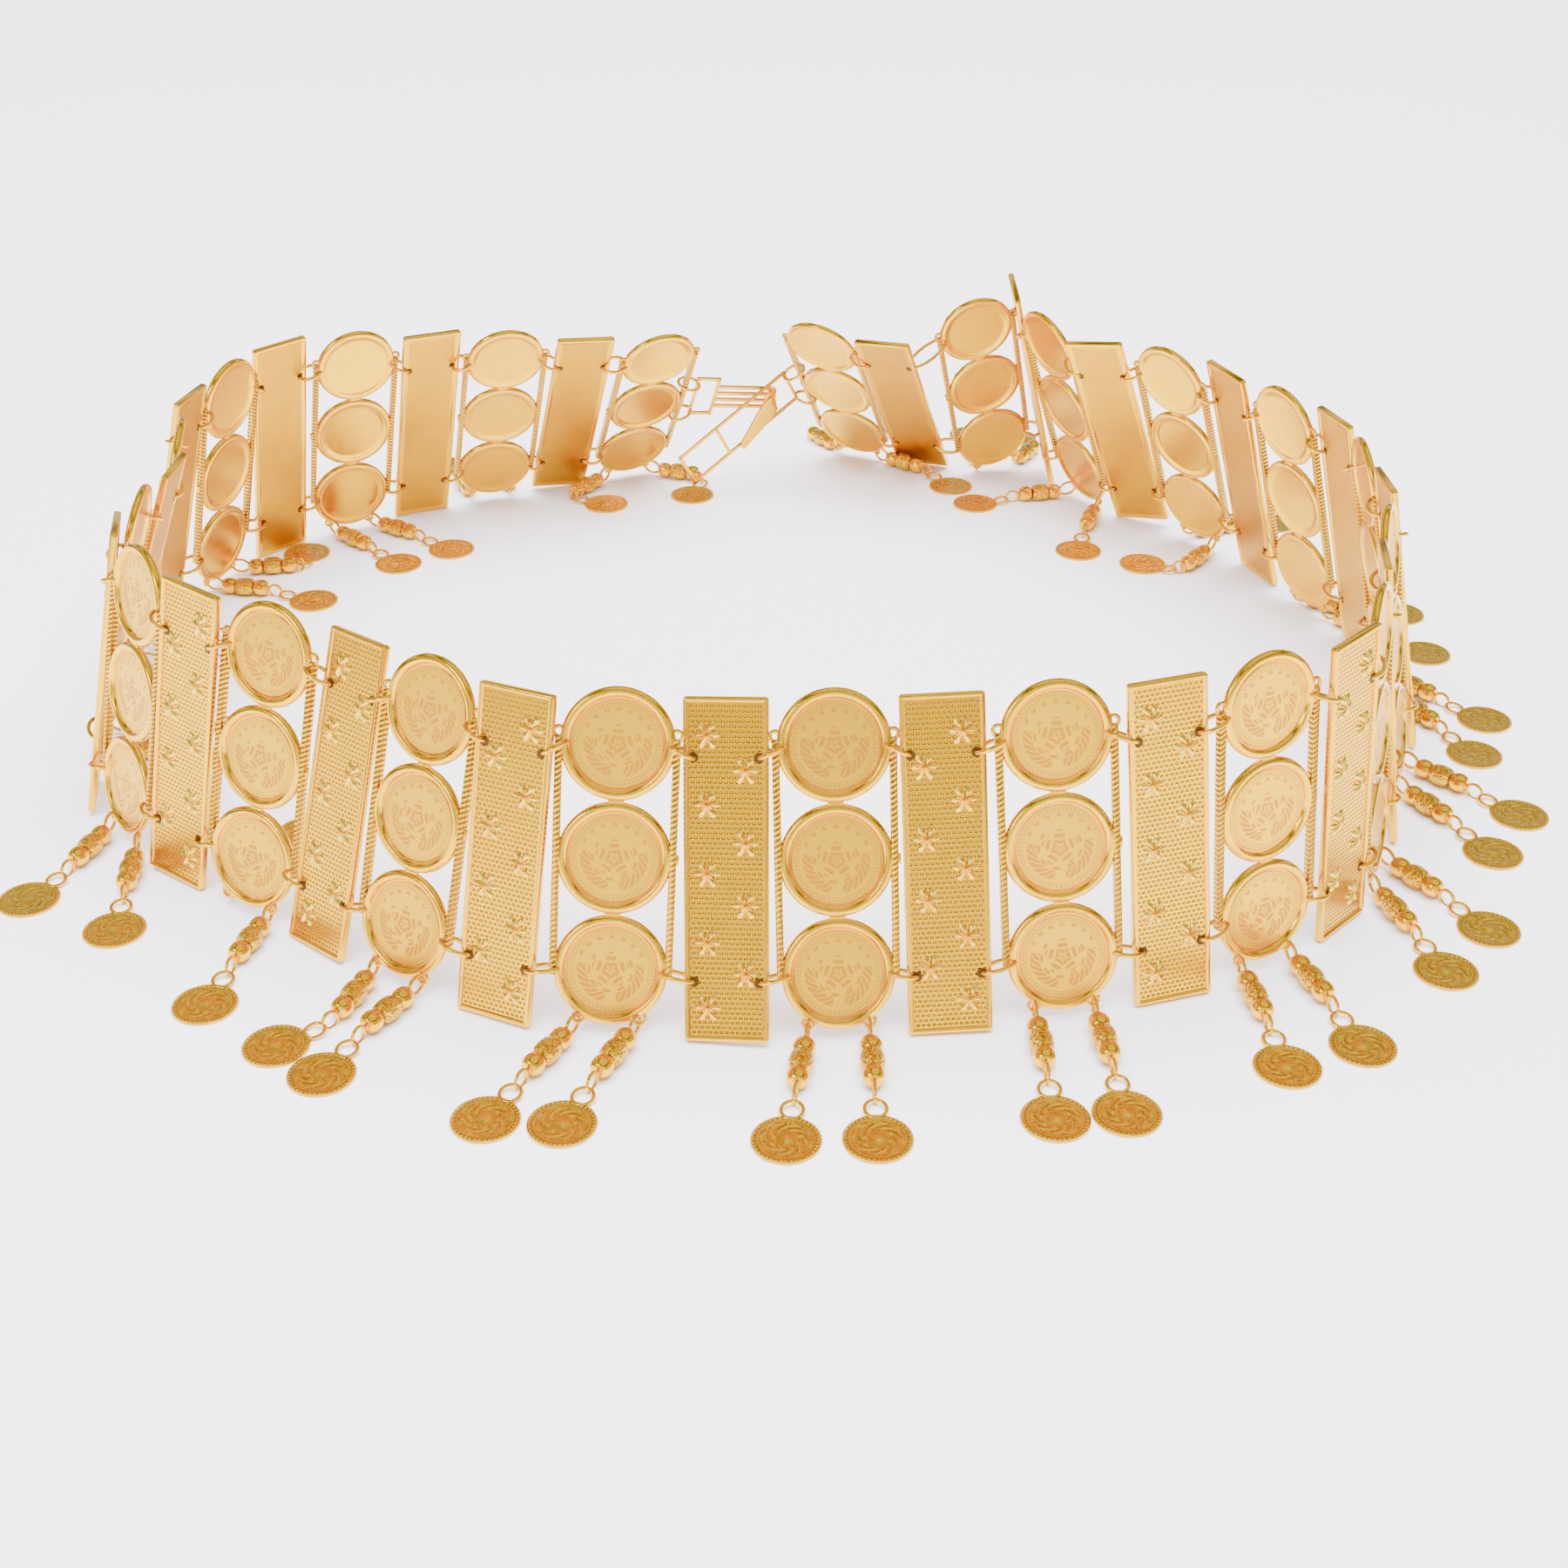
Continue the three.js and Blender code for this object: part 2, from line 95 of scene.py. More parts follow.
# Each standing link leans inward over its foot and is set down on its lowest corner
def stationPose(row):
    kind, x, y = row[:3]
    heading, lean, roll = np.radians(row[3:])
    along = np.array([np.cos(heading), np.sin(heading), 0])
    out = np.array([-np.sin(heading), np.cos(heading), 0])
    up = np.array([0, 0, np.cos(lean)]) - np.sin(lean) * out
    turned = along * np.cos(roll) + up * np.sin(roll)
    upright = up * np.cos(roll) - along * np.sin(roll)
    rise = plateSize["halfHeight"]
    if kind == "coins":
        rise = coinSize["foot"] + coinSize["radius"] + coinSize["pitch"]
    pose = poseOf(np.array([x, y, 0]) + upright * rise, turned, upright)
    if kind == "plate":
        x, y = plateSize["halfWidth"], plateSize["halfDepth"]
        feet = [[i * x, j * y, -rise] for i in (-1, 1) for j in (-1, 1)]
        pose["centre"][2] -= placed(pose, feet)[:, 2].min()
    return pose


def plateHoles(pose, side):
    x = side * (plateSize["halfWidth"] - plateSize["holeIn"])
    return placed(pose, [[x, 0, plateSize["holeUp"]], [x, 0, -plateSize["holeUp"]]])


def columnHoles(pose, side):
    x = side * coinSize["wireAt"]
    return placed(pose, [[x, 0, coinSize["pitch"]], [x, 0, -coinSize["pitch"]]])


# A column hangs in the middle of the four holes that face it
def hungPose(before, after):
    left, right = plateHoles(before, 1), plateHoles(after, -1)
    along = right.mean(0) - left.mean(0)
    up = (left[0] + right[0] - left[1] - right[1]) / 2
    pose = poseOf((left.mean(0) + right.mean(0)) / 2, along, up)
    pose["centre"] += pose["basis"][2] * coinSize["lift"]
    return pose


anchors = [stationPose(row) for row in stations]
links = []
for i, pose in enumerate(anchors):
    if stations[i][0] == "plate" and stations[i - 1][0] == "plate":
        links.append(("coins", hungPose(anchors[i - 1], pose)))
    links.append((stations[i][0], pose))
print("poses of", len(links), "links")


# Shader values with arithmetic: each sum, product or comparison is one Math node
class Field:
    def __init__(self, tree, socket):
        self.tree, self.socket = tree, socket

    def op(self, kind, *others):
        node = self.tree.nodes.new("ShaderNodeMath")
        node.operation = kind
        for slotIn, value in zip(node.inputs, (self, *others)):
            if isinstance(value, Field):
                self.tree.links.new(value.socket, slotIn)
            else:
                slotIn.default_value = value
        return Field(self.tree, node.outputs[0])

    def __add__(self, o): return self.op("ADD", o)
    def __radd__(self, o): return self.op("ADD", o)
    def __sub__(self, o): return self.op("SUBTRACT", o)
    def __rsub__(self, o): return self.op("MULTIPLY", -1.0).op("ADD", o)
    def __mul__(self, o): return self.op("MULTIPLY", o)
    def __rmul__(self, o): return self.op("MULTIPLY", o)
    def __truediv__(self, o): return self.op("DIVIDE", o)
    def __rtruediv__(self, o): return self.op("POWER", -1.0).op("MULTIPLY", o)
    def __pow__(self, o): return self.op("POWER", o)
    def __neg__(self): return self.op("MULTIPLY", -1.0)
    def __gt__(self, o): return self.op("GREATER_THAN", o)
    def __lt__(self, o): return self.op("LESS_THAN", o)
    def sin(self): return self.op("SINE")
    def cos(self): return self.op("COSINE")
    def abs(self): return self.op("ABSOLUTE")
    def floor(self): return self.op("FLOOR")
    def fract(self): return self.op("FRACT")
    def sqrt(self): return self.op("SQRT")
    def top(self, o): return self.op("MINIMUM", o)
    def least(self, o): return self.op("MAXIMUM", o)
    def near(self, value, width): return (self - value).abs() < width


# Adds a node of a type, with its settings first and then its socket values or links
def addNode(tree, kind, settings=None, values=None):
    made = tree.nodes.new(kind)
    for key, value in (settings or {}).items():
        setattr(made, key, value)
    for key, value in (values or {}).items():
        if isinstance(value, Field):
            tree.links.new(value.socket, made.inputs[key])
        else:
            made.inputs[key].default_value = value
    return made


# A material with its Principled shader; local() gives the part's own millimetre coordinates
class Finish:
    def __init__(self, name, **fixed):
        self.material = bpy.data.materials.new(name)
        self.material.use_nodes = True
        self.tree = self.material.node_tree
        self.shader = self.tree.nodes["Principled BSDF"]
        for key, value in fixed.items():
            self.shader.inputs[key.replace("_", " ")].default_value = value

    def node(self, kind, settings=None, values=None):
        return addNode(self.tree, kind, settings, values)

    def local(self):
        read = self.node("ShaderNodeAttribute", {"attribute_name": "local"})
        vector = Field(self.tree, read.outputs["Vector"])
        apart = self.node("ShaderNodeSeparateXYZ", None, {"Vector": vector})
        return vector, [Field(self.tree, s) for s in apart.outputs]

    def noise(self, vector, scale, detail=3.0):
        made = self.node("ShaderNodeTexNoise", None, {"Vector": vector, "Scale": scale, "Detail": detail})
        return Field(self.tree, made.outputs["Fac"])

    def colour(self, amount, low, high):
        values = {"Factor": amount, 6: (*low, 1), 7: (*high, 1)}
        made = self.node("ShaderNodeMix", {"data_type": "RGBA"}, values)
        self.tree.links.new(made.outputs[2], self.shader.inputs["Base Color"])

    def rough(self, value):
        self.tree.links.new(value.socket, self.shader.inputs["Roughness"])

    def bump(self, height, distance, strength=1.0):
        values = {"Height": height, "Distance": distance, "Strength": strength}
        made = self.node("ShaderNodeBump", None, values)
        self.tree.links.new(made.outputs["Normal"], self.shader.inputs["Normal"])


goldLight = (0.96, 0.53, 0.002)

# Polished gold: faint cloudiness in colour and roughness
polished = Finish("polished_gold", Metallic=1.0)
where, _ = polished.local()
cloud = polished.noise(where, 0.35)
polished.colour(cloud, (0.88, 0.46, 0.001), (1.0, 0.58, 0.008))
polished.rough(0.12 + 0.12 * cloud)
polished.bump(polished.noise(where, 2.5, 4.0), 0.00003)

# Petal gold: the same polish, lighter, with a fine ripple
petal = Finish("petal_gold", Metallic=1.0)
where, _ = petal.local()
cloud = petal.noise(where, 1.2)
petal.colour(cloud, (1.0, 0.62, 0.02), (1.0, 0.72, 0.08))
petal.rough(0.14 + 0.1 * cloud)
petal.bump(petal.noise(where, 3.0, 4.0), 0.00004)

# Grained gold: tilted ellipse domes in staggered rows, the tilt turning from cell to cell, with painted
# shade round each dome's edge
grained = Finish("grained_gold", Metallic=1.0)
where, (x, y, z) = grained.local()
v = z / 1.02
row = v.floor()
u = x / 1.12 + (row * 0.5).fract()
lean = 1.0 - (u.floor() * 0.5).fract() * 4.0
fu, fv = u.fract() - 0.5, v.fract() - 0.5
a = (fu + fv * lean * 0.55) * 2.5
b = (fv - fu * lean * 0.35) * 3.1
dome = (1.0 - (a * a + b * b)).least(0.0).sqrt()
# Band round the edge of each dome: painted shade in the colour, and a little more roughness
paintedShadeRim = (dome > 0.02) * (dome < 0.72)
cloud = grained.noise(where, 0.4)
# Colour: painted shade darkens the dome edges towards a deep brown, plus a faint random tone from the noise
grained.colour(paintedShadeRim * 0.9 + cloud * 0.1, goldLight, (0.26, 0.10, 0.001))
grained.rough(0.26 + 0.1 * paintedShadeRim)
grained.bump(dome, 0.0007)

# Satin gold of the plate backs: fine lengthwise brushing
satin = Finish("satin_gold", Metallic=1.0)
where, (x, y, z) = satin.local()
stretch = satin.node("ShaderNodeVectorMath", {"operation": "MULTIPLY"}, {0: where, 1: (6.0, 1.0, 0.5)})
brushed = satin.noise(Field(satin.tree, stretch.outputs[0]), 1.6, 5.0)
cloud = satin.noise(where, 0.12)
satin.colour(cloud, (0.62, 0.30, 0.0), (0.76, 0.39, 0.001))
satin.rough(0.27 + 0.14 * brushed)
satin.bump(brushed, 0.00004)

# Coin face: etched rings, dots, stars, a leaf wreath and a palmette, all from the radius and the angle round
face = Finish("coin_face", Metallic=1.0)
where, (x, y, z) = face.local()
r = (x * x + z * z).sqrt()
turn = x.op("ARCTAN2", z)
front = y > 0.2
line = r.near(8.8, 0.07).least(r.near(7.7, 0.06))
dots = r.near(8.25, 0.2) * ((turn * 60.0).cos() > 0.1)
points = 6.7 + 0.35 * (turn * 25.0).cos().abs()
stars = r.near(points, 0.32) * ((turn * 18.0).cos() > 0.25) * (turn.abs() < 1.15)
leaf = (turn * 13.0 + r * 2.4).sin().abs()
wreath = r.near(5.9, 0.95) * (leaf > 0.45) * (turn.abs() > 1.35) * (turn.abs() < 2.95)
lobe = (turn * 2.5).cos().abs()
rose = (r < 1.4 + 2.5 * lobe) * ((r * 4.5 + lobe * 3.0).sin() > -0.25)
sprig = r.near(4.4, 0.3) * ((turn * 9.0).sin() > 0.0) * (turn.abs() > 0.8)
etched = line.least(dots).least(stars).least(wreath).least(rose).least(sprig) * front
speckle = face.noise(where, 3.0, 4.0)
face.colour(etched * (0.55 + 0.35 * speckle), (0.94, 0.54, 0.010), (0.64, 0.23, 0.02))
face.rough(0.36 + 0.12 * etched + 0.06 * speckle)
face.bump(etched * 0.6 + speckle * 0.4, 0.00004)

# Milled rope of the side bars: slanting ridges
rope = Finish("milled_gold", Metallic=1.0)
where, (x, y, z) = rope.local()
ridge = ((z * 5.6 + x * 3.0).sin() * 0.5 + 0.5)
rope.colour(ridge, (0.48, 0.22, 0.001), (1.0, 0.60, 0.01))
rope.rough(0.30 - 0.12 * ridge)
rope.bump(ridge, 0.0002)

# Hammered barrel: small facets from cell distances
barrelGold = Finish("hammered_gold", Metallic=1.0)
where, _ = barrelGold.local()
cells = barrelGold.node("ShaderNodeTexVoronoi", None, {"Vector": where, "Scale": 1.1})
cell = Field(barrelGold.tree, cells.outputs["Distance"])
barrelGold.colour(cell.top(1.0), (0.62, 0.30, 0.001), (1.0, 0.66, 0.02))
barrelGold.rough(0.16 + 0.14 * cell)
barrelGold.bump(cell, 0.0005)

# Charm relief: pearled edge, two rings, a ring of plain ticks and a rosette of eight curled leaves
charm = Finish("charm_gold", Metallic=1.0)
where, (x, y, z) = charm.local()
r = (x * x + z * z).sqrt()
turn = x.op("ARCTAN2", z)
pearls = (1.0 - ((r - 6.25) * 2.2) ** 2.0).least(0.0) * ((turn * 20.0).cos().abs())
rings = r.near(5.45, 0.16).least(r.near(2.1, 0.12))
curls = ((turn * 8.0 + (r * 1.7).sin() * 3.0).sin() * 0.5 + 0.5) * (r < 5.2) * (r > 2.3)
ticks = r.near(4.5, 0.4) * ((turn * 26.0).sin() > 0.1)
middle = (1.0 - r / 1.8).least(0.0)
worn = charm.noise(where, 1.6, 4.0)
relief = (pearls * 0.9).least(rings * 0.7).least(curls * 0.7).least(ticks * 0.6).least(middle) + worn * 0.35
charm.colour(relief.top(1.0), (0.76, 0.36, 0.001), (1.0, 0.68, 0.03))
charm.rough(0.32 - 0.12 * relief)
charm.bump(relief, 0.0004)

# Painted shadow of a ring hole: dark discs set where the hole lies in shade
holeShadow = Finish("hole_shadow", Metallic=0.8, Base_Color=(0.12, 0.06, 0.01, 1), Roughness=0.5)
where, _ = holeShadow.local()
holeShadow.rough(0.45 + 0.2 * holeShadow.noise(where, 1.0))

finishes = [polished, grained, satin, face, rope, barrelGold, charm, holeShadow, petal]
finishNames = ("polished", "grained", "satin", "face", "rope", "hammered", "charm", "holeShadow", "petal")
finishIndex = {name: index for index, name in enumerate(finishNames)}
print("materials")


# A part is points with their local coordinates, quads over a grid, and flat caps
def gridPart(points, finish, local=None, closeRows=False, closeCols=True, caps=(), capFinish=None):
    rows, cols = points.shape[:2]
    i = np.arange(rows if closeRows else rows - 1)[:, None]
    j = np.arange(cols if closeCols else cols - 1)[None, :]
    i2, j2 = (i + 1) % rows, (j + 1) % cols
    quads = np.stack([i * cols + j, i * cols + j2, i2 * cols + j2, i2 * cols + j], -1).reshape(-1, 4)
    capLoops = []
    if "start" in caps:
        capLoops.append(np.arange(cols)[::-1])
    if "end" in caps:
        capLoops.append((rows - 1) * cols + np.arange(cols))
    flat = points.reshape(-1, 3)
    return {"points": flat, "local": flat if local is None else local.reshape(-1, 3), "quads": quads,
            "caps": capLoops, "finish": finishIndex[finish], "capFinish": finishIndex[capFinish or finish]}


def moved(part, pose):
    return {**part, "points": placed(pose, part["points"])}


# Surface of revolution about the y axis of a profile of (radius, y)
def turned(profile, sides, finish, **more):
    p = np.array(profile, float)
    t = np.linspace(0, 2 * np.pi, sides, endpoint=False)
    points = np.stack([p[:, :1] * np.sin(t), np.repeat(p[:, 1:], sides, 1), p[:, :1] * np.cos(t)], -1)
    return gridPart(points, finish, **more)


# Ring wire round the ellipse centre + A cos t + B sin t, a circle of the wire's radius carried round it
def ringPart(centre, axisA, axisB, wire, steps=ringSize["steps"], sides=ringSize["sides"]):
    t = np.linspace(0, 2 * np.pi, steps, endpoint=False)[:, None]
    f = np.linspace(0, 2 * np.pi, sides, endpoint=False)[None, :, None]
    path = centre + axisA * np.cos(t) + axisB * np.sin(t)
    lengthA, lengthB = np.linalg.norm(axisA), np.linalg.norm(axisB)
    outward = unit(unit(axisA) * lengthB * np.cos(t) + unit(axisB) * lengthA * np.sin(t))
    square = unit(np.cross(axisA, axisB))
    points = path[:, None] + wire * (outward[:, None] * np.cos(f) + square * np.sin(f))
    return gridPart(points, "polished", local=points - centre, closeRows=True)


# Ring that threads two points: half the way between them by the reach along the mean out
def linkRing(start, startOut, end, endOut, wire=ringSize["wire"], reach=ringSize["reach"]):
    way = end - start
    out = startOut + endOut
    out = unit(out - way * np.dot(out, way) / np.dot(way, way))
    return ringPart((start + end) / 2, way / 2, out * reach, wire)


# Rounded rectangle outline of half sizes, one quarter circle at each corner
def roundedLoop(halfX, halfZ, radius, steps=5):
    corner = np.linspace(0, np.pi / 2, steps)
    quarters = []
    for k, (sx, sz) in enumerate([(1, 1), (-1, 1), (-1, -1), (1, -1)]):
        angle = corner + k * np.pi / 2
        quarters.append(np.stack([sx * (halfX - radius) + radius * np.cos(angle),
                                  sz * (halfZ - radius) + radius * np.sin(angle)], -1))
    return np.concatenate(quarters)


# Beam between two corners, swept along its longest side with its ends drawn in by the bevel
def beamPart(low, high, finish="polished", bevel=0.22):
    low, high = np.array(low, float), np.array(high, float)
    size = (high - low) / 2
    axis = int(np.argmax(size))
    others = [k for k in range(3) if k != axis]
    rows = []
    for inset, s in ((bevel, -1), (bevel * 0.3, -1), (0, -1), (0, 1), (bevel * 0.3, 1), (bevel, 1)):
        shift = {bevel: 0, bevel * 0.3: bevel * 0.3, 0: bevel}[inset]
        rounding = max(bevel - inset * 0.6, 0.05)
        loop = roundedLoop(size[others[0]] - inset, size[others[1]] - inset, rounding, 3)
        row = np.zeros((len(loop), 3))
        row[:, others[0]], row[:, others[1]] = loop[:, 0], loop[:, 1]
        row[:, axis] = s * (size[axis] - shift)
        rows.append(row)
    points = np.array(rows) + (low + high) / 2
    return gridPart(points, finish, caps=("start", "end"))


# Bead or pin of revolution along a direction, profile of (distance, radius)
def strungPart(start, way, profile, finish, sides=20):
    p = np.array(profile, float)
    side = unit(np.cross(way, [0, 0, 1.0]))
    rise = np.cross(side, way)
    t = np.linspace(0, 2 * np.pi, sides, endpoint=False)[None, :, None]
    ring = side * np.cos(t) + rise * np.sin(t)
    points = start + way * p[:, :1, None] + ring * p[:, 1:, None]
    return gridPart(points, finish, local=points - start, caps=("start", "end"))


# One mesh object of many parts, in metres about the belt's own origin
def makePiece(name, parts):
    offsets = np.cumsum([0] + [len(p["points"]) for p in parts])
    points = (np.concatenate([p["points"] for p in parts]) - bandMiddle) / 1000
    local = np.concatenate([p["local"] for p in parts])
    loops, totals, finishOf, smooth = [], [], [], []
    for part, offset in zip(parts, offsets):
        loops.append((part["quads"] + offset).ravel())
        totals.append(np.full(len(part["quads"]), 4))
        finishOf.append(np.full(len(part["quads"]), part["finish"]))
        smooth.append(np.ones(len(part["quads"]), bool))
        for cap in part["caps"]:
            loops.append(cap + offset)
            totals.append(np.array([len(cap)]))
            finishOf.append(np.array([part["capFinish"]]))
            smooth.append(np.zeros(1, bool))
    loops, totals = np.concatenate(loops), np.concatenate(totals)
    mesh = bpy.data.meshes.new(name)
    mesh.vertices.add(len(points))
    mesh.vertices.foreach_set("co", points.ravel())
    mesh.loops.add(len(loops))
    mesh.loops.foreach_set("vertex_index", loops.astype(np.int32))
    mesh.polygons.add(len(totals))
    mesh.polygons.foreach_set("loop_start", np.concatenate([[0], np.cumsum(totals)[:-1]]).astype(np.int32))
    used = sorted(set(np.concatenate(finishOf).tolist()))
    for index in used:
        mesh.materials.append(finishes[index].material)
    remap = np.zeros(len(finishes), np.int32)
    remap[used] = np.arange(len(used))
    mesh.polygons.foreach_set("material_index", remap[np.concatenate(finishOf)])
    mesh.polygons.foreach_set("use_smooth", np.concatenate(smooth))
    stored = mesh.attributes.new("local", "FLOAT_VECTOR", "POINT")
    stored.data.foreach_set("vector", local.ravel().astype(np.float32))
    mesh.update()
    mesh.validate()
    mesh.set_sharp_from_angle(angle=0.9)
    piece = bpy.data.objects.new(name, mesh)
    bpy.context.scene.collection.objects.link(piece)
    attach(piece, "root")
    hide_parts(name)


# Plate: raised rim round a grained panel, satin back with a low edge, nine six petal flowers
plateLook = {"corner": 0.7, "flowerRadius": 3.15, "flowerRise": 0.75, "rowX": 3.9,
             "five": (0.11, 0.31, 0.51, 0.71, 0.90), "four": (0.21, 0.42, 0.60, 0.80)}
plateProfile = [(1.7, -0.62), (1.35, -0.64), (1.05, -0.82), (0.3, -0.85), (0.06, -0.74), (0, -0.5), (0, 0.5),
                (0.08, 0.76), (0.3, 0.9), (0.7, 0.93), (0.98, 0.84), (1.1, 0.62), (1.15, 0.42)]


def platePart():
    rows = []
    for inset, y in plateProfile:
        loop = roundedLoop(plateSize["halfWidth"] - inset, plateSize["halfHeight"] - inset,
                           max(plateLook["corner"] - inset, 0.12))
        rows.append(np.stack([loop[:, 0], np.full(len(loop), y), loop[:, 1]], -1))
    points = np.array(rows)
    body = gridPart(points, "polished", caps=("start",), capFinish="satin")
    grain = finishIndex["grained"]
    front = {**body, "quads": body["quads"][:0], "finish": grain, "capFinish": grain,
             "caps": [(len(rows) - 1) * points.shape[1] + np.arange(points.shape[1])]}
    return [body, front]


# Flower: radius swells at six petals, each petal a ridge |cos 3t|, its height a hump along the petal
def flowerPart(x, z):
    t = np.linspace(0, 2 * np.pi, 48, endpoint=False)[None]
    s = np.array([1.0, 0.93, 0.8, 0.62, 0.45, 0.3, 0.2, 0.12, 0.02])[:, None]
    ridge = np.abs(np.cos(3 * t))
    broad = 0.85 + 0.15 * np.abs(np.sin(t))
    radius = plateLook["flowerRadius"] * broad * (0.30 + 0.70 * ridge ** 0.8) * s
    hump = np.sin(np.pi * np.clip(s, 0, 1) ** 0.8) ** 0.7
    boss = np.exp(-((s / 0.16) ** 2)) * 0.45
    height = 0.40 + plateLook["flowerRise"] * (hump * (0.25 + 0.75 * ridge ** 2) + boss)
    points = np.stack([x + radius * np.cos(t), height + 0 * t, z + radius * np.sin(t)], -1)
    return gridPart(points, "petal", caps=("end",))


# Painted shadow: a dark disc on the front and on the back of the plate at each ring hole
def holeShadowParts(side, z):
    x = side * (plateSize["halfWidth"] - plateSize["holeIn"])
    rims = []
    for y, sign in ((0.44, 1), (-0.62, -1)):
        ring = turned([(1.05, y), (1.05, y + 0.02 * sign)], 20, "holeShadow", caps=("end",))
        ring["points"] = ring["points"] + np.array([x, 0, z])
        ring["local"] = ring["points"]
        rims.append(ring)
    return rims


plateBase = platePart()
for side in (-1, 1):
    for sign in (-1, 1):
        plateBase += holeShadowParts(side, sign * plateSize["holeUp"])
fiveSide = {}
for side in (1, -1):
    height = 2 * plateSize["halfHeight"]
    x, top = side * plateLook["rowX"], plateSize["halfHeight"]
    flowers = [flowerPart(x, top - height * k) for k in plateLook["five"]]
    flowers += [flowerPart(-x, top - height * k) for k in plateLook["four"]]
    fiveSide[side] = flowers
print("plate shapes")

# Column: three bezel set coins, milled side bars with an eye at the top, small bridges between the coins
bezelProfile = [(0.02, -0.30), (8.4, -0.30), (9.0, -0.38), (9.5, -0.62), (9.9, -0.86), (10.5, -0.95),
                (11.1, -0.80), (11.45, -0.42), (11.55, 0.0), (11.5, 0.42), (11.25, 0.80), (10.8, 1.02),
                (10.3, 1.06), (9.9, 0.94), (9.62, 0.66), (9.5, 0.34), (9.38, 0.12), (9.2, 0.10),
                (9.1, 0.26), (9.0, 0.34)]
barLook = {"low": 10.95, "high": 12.45, "half": 0.95, "past": 1.3}


def columnParts():
    made = []
    for k in (-1, 0, 1):
        shift = np.array([0, 0, k * coinSize["pitch"]])
        bezel = turned(bezelProfile, 72, "polished", caps=("start",), capFinish="satin")
        disc = turned([(9.0, 0.34), (6.0, 0.36), (3.0, 0.36), (0.02, 0.36)], 72, "face", caps=("end",))
        for part in (bezel, disc):
            made.append({**part, "points": part["points"] + shift})
    reach = coinSize["pitch"] + barLook["past"]
    for side in (-1, 1):
        edges = sorted((side * barLook["low"], side * barLook["high"]))
        half = barLook["half"]
        made.append(beamPart([edges[0], -half, -reach], [edges[1], half, reach], "rope", 0.3))
        eye = np.array([side * 11.7, 0, reach + 0.7])
        made.append(ringPart(eye, np.array([1.05, 0, 0]), np.array([0, 0, 1.05]), 0.42, steps=20, sides=8))
        made.append(beamPart([edges[0] - 0.5, -0.6, -1.1], [edges[1], 0.5, 1.1], "polished", 0.2))
    for k in (-0.5, 0.5):
        z = k * coinSize["pitch"]
        made.append(beamPart([-1.6, -0.6, z - 0.55], [1.6, 0.55, z + 0.55], "polished", 0.25))
    return made


columnBase = columnParts()

# Tassel: eye, ring, bead, hammered barrel, bead, two rings and a pearled coin lying flat
tasselLook = {"lugAt": 6.2, "lugIn": 0.5, "bead": 2.35, "barrel": 2.6, "lie": 2.45, "wire": 0.4, "coin": 6.9,
              "run": 20.0, "link": 5.5, "eye": 1.15, "ringHigh": 1.9, "ringAt": 4.7, "looseAt": 18.5,
              "pin": 0.5, "pinAt": 4.3, "pinLong": 14.4, "beadsAt": (6.7, 16.1), "barrelAt": 11.4}
humpSteps = np.linspace(0, np.pi, 11)
beadProfile = [(-2.1 * np.cos(t), 0.9 + (tasselLook["bead"] - 0.9) * np.sin(t) ** 0.8) for t in humpSteps]
barrelSwell = tasselLook["barrel"] - 1.2
barrelProfile = [(-2.65 * np.cos(t), 1.2 + barrelSwell * np.sin(t) ** 0.55) for t in humpSteps]


